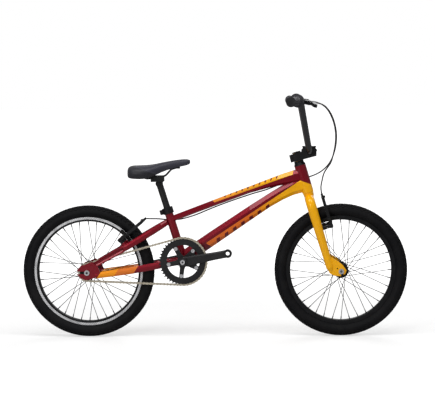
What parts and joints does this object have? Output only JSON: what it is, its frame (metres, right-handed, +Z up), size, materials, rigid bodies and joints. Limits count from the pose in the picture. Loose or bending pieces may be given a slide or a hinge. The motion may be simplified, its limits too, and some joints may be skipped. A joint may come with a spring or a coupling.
{
  "type": "bmx bike",
  "caption": "Small-wheeled bicycle with a welded frame, high handlebar, single chain drive, spoked wheels and rim brakes, shown without pedals.",
  "frame": {"origin": "on the ground, half way between the two wheel axles", "axes": "+X forwards, +Y to the rider's left, +Z up; the drive side is -Y"},
  "size_m": [1.4542, 0.734, 0.9128],
  "materials": {
    "red_paint": "candy gloss",
    "yellow_paint": "gloss",
    "fade_paint": "gloss",
    "black_metal": "satin black",
    "black_anodised": "black anodised",
    "silver_metal": "brushed",
    "steel": "bright",
    "chain_steel": "oiled",
    "tyre_rubber": "moulded",
    "rubber": "matte",
    "saddle_vinyl": "matte grain",
    "black_plastic": "satin",
    "cable_housing": "smooth"
  },
  "bodies": {
    "frame": {"head_tube": "yellow_paint", "top_tube": "red_paint", "down_tube": "red_paint", "seat_tube": "red_paint", "bottom_bracket_shell": "red_paint", "chainstays": "fade_paint", "seatstays": "red_paint", "rear_dropouts": "red_paint", "rear_brake_bosses": "red_paint", "bottom_bracket_bearings": "steel", "headset_bearings": "steel", "rear_axle": "silver_metal", "seat_clamp": "black_anodised", "chain": "chain_steel", "rear_brake_cable": "cable_housing"},
    "fork": {"fork_crown": "yellow_paint", "fork_legs": "yellow_paint", "fork_dropouts": "yellow_paint", "front_brake_bosses": "black_metal", "front_axle": "silver_metal", "headset_cover": "black_anodised", "stem_body": "black_anodised", "stem_cap": "black_anodised", "stem_bolts": "black_anodised", "handlebar": "black_metal", "crossbar": "black_metal", "grips": "rubber", "lever_perches": "black_anodised", "front_brake_cable": "cable_housing"},
    "front_wheel": {"front_tyre": "tyre_rubber", "front_inner_tube": "rubber", "front_rim": "black_anodised", "front_spokes": "steel", "front_hub": "black_anodised"},
    "rear_wheel": {"rear_tyre": "tyre_rubber", "rear_inner_tube": "rubber", "rear_rim": "silver_metal", "rear_spokes": "steel", "rear_hub": "black_anodised"},
    "freewheel": {"freewheel": "black_metal"},
    "crankset": {"crank_arm_right": "black_metal", "crank_arm_left": "black_metal", "chainring": "black_metal", "chainring_bolts": "silver_metal", "crank_spindle": "black_anodised"},
    "front_arm_right": {"front_brake_arm_right": "black_anodised", "front_brake_pad_right": "rubber"},
    "front_arm_left": {"front_brake_arm_left": "black_anodised", "front_brake_pad_left": "rubber"},
    "rear_arm_right": {"rear_brake_arm_right": "black_anodised", "rear_brake_pad_right": "rubber"},
    "rear_arm_left": {"rear_brake_arm_left": "black_anodised", "rear_brake_pad_left": "rubber"},
    "lever_right": {"brake_lever_right": "black_anodised"},
    "lever_left": {"brake_lever_left": "black_anodised"},
    "seatpost": {"seatpost": "black_metal"},
    "saddle": {"saddle_cover": "saddle_vinyl", "saddle_base": "black_plastic", "saddle_rails": "steel", "rail_clamp": "black_anodised"}
  },
  "joints": [
    {"name": "steering", "type": "hinge", "parent": "frame", "child": "fork", "pos_m": [0.34344, 0, 0.58599], "axis": [-0.2798, 0, 0.96], "range_deg": [-75, 75], "deforming": ["rear_brake_cable"]},
    {"name": "front_wheel_spin", "type": "hinge", "parent": "fork", "child": "front_wheel", "pos_m": [0.4772, 0, 0.25], "axis": [0, 1, 0], "continuous": true},
    {"name": "rear_wheel_spin", "type": "hinge", "parent": "frame", "child": "rear_wheel", "pos_m": [-0.4772, 0, 0.25], "axis": [0, 1, 0], "continuous": true},
    {"name": "crank_spin", "type": "hinge", "parent": "frame", "child": "crankset", "pos_m": [-0.11546, 0, 0.2895], "axis": [0, 1, 0], "continuous": true, "deforming": ["chain"]},
    {"name": "freewheel_spin", "type": "hinge", "parent": "frame", "child": "freewheel", "pos_m": [-0.4772, 0, 0.25], "axis": [0, 1, 0], "continuous": true},
    {"name": "right_lever_pull", "type": "hinge", "parent": "fork", "child": "lever_right", "pos_m": [0.35562, -0.23635, 0.88224], "axis": [-0.1734, 0.0564, -0.9832], "range_deg": [0, 22], "stiffness_Nm_per_rad": 0.4, "springref_deg": -14.32},
    {"name": "left_lever_pull", "type": "hinge", "parent": "fork", "child": "lever_left", "pos_m": [0.35562, 0.23635, 0.88224], "axis": [0.1734, 0.0564, 0.9832], "range_deg": [0, 22], "stiffness_Nm_per_rad": 0.4, "springref_deg": -14.32},
    {"name": "rear_arm_right_swing", "type": "hinge", "parent": "frame", "child": "rear_arm_right", "pos_m": [-0.34943, -0.044, 0.36977], "axis": [-0.6293, 0, 0.7771], "range_deg": [0, 3.61]},
    {"name": "rear_arm_left_swing", "type": "hinge", "parent": "frame", "child": "rear_arm_left", "pos_m": [-0.34943, 0.044, 0.36977], "axis": [0.6293, 0, -0.7771], "range_deg": [0, 3.61], "deforming": ["rear_brake_cable"]},
    {"name": "front_arm_right_swing", "type": "hinge", "parent": "fork", "child": "front_arm_right", "pos_m": [0.43741, -0.044, 0.42047], "axis": [-0.96, 0, -0.2798], "range_deg": [0, 3.61]},
    {"name": "front_arm_left_swing", "type": "hinge", "parent": "fork", "child": "front_arm_left", "pos_m": [0.43741, 0.044, 0.42047], "axis": [0.96, 0, 0.2798], "range_deg": [0, 3.61], "deforming": ["front_brake_cable"]},
    {"name": "seatpost_height", "type": "slide", "parent": "frame", "child": "seatpost", "axis": [-0.2924, 0, 0.9563], "range_m": [-0.05, 0.04]},
    {"name": "saddle_tilt", "type": "hinge", "parent": "seatpost", "child": "saddle", "pos_m": [-0.20463, 0, 0.58117], "axis": [0, 1, 0], "range_deg": [-8, 8]}
  ],
  "couplings": [
    {"joint": "freewheel_spin", "follows": "crank_spin", "ratio": 2.75},
    {"joint": "rear_arm_right_swing", "follows": "right_lever_pull", "ratio": 0.16364},
    {"joint": "rear_arm_left_swing", "follows": "right_lever_pull", "ratio": 0.16364},
    {"joint": "front_arm_right_swing", "follows": "left_lever_pull", "ratio": 0.16364},
    {"joint": "front_arm_left_swing", "follows": "left_lever_pull", "ratio": 0.16364}
  ]
}
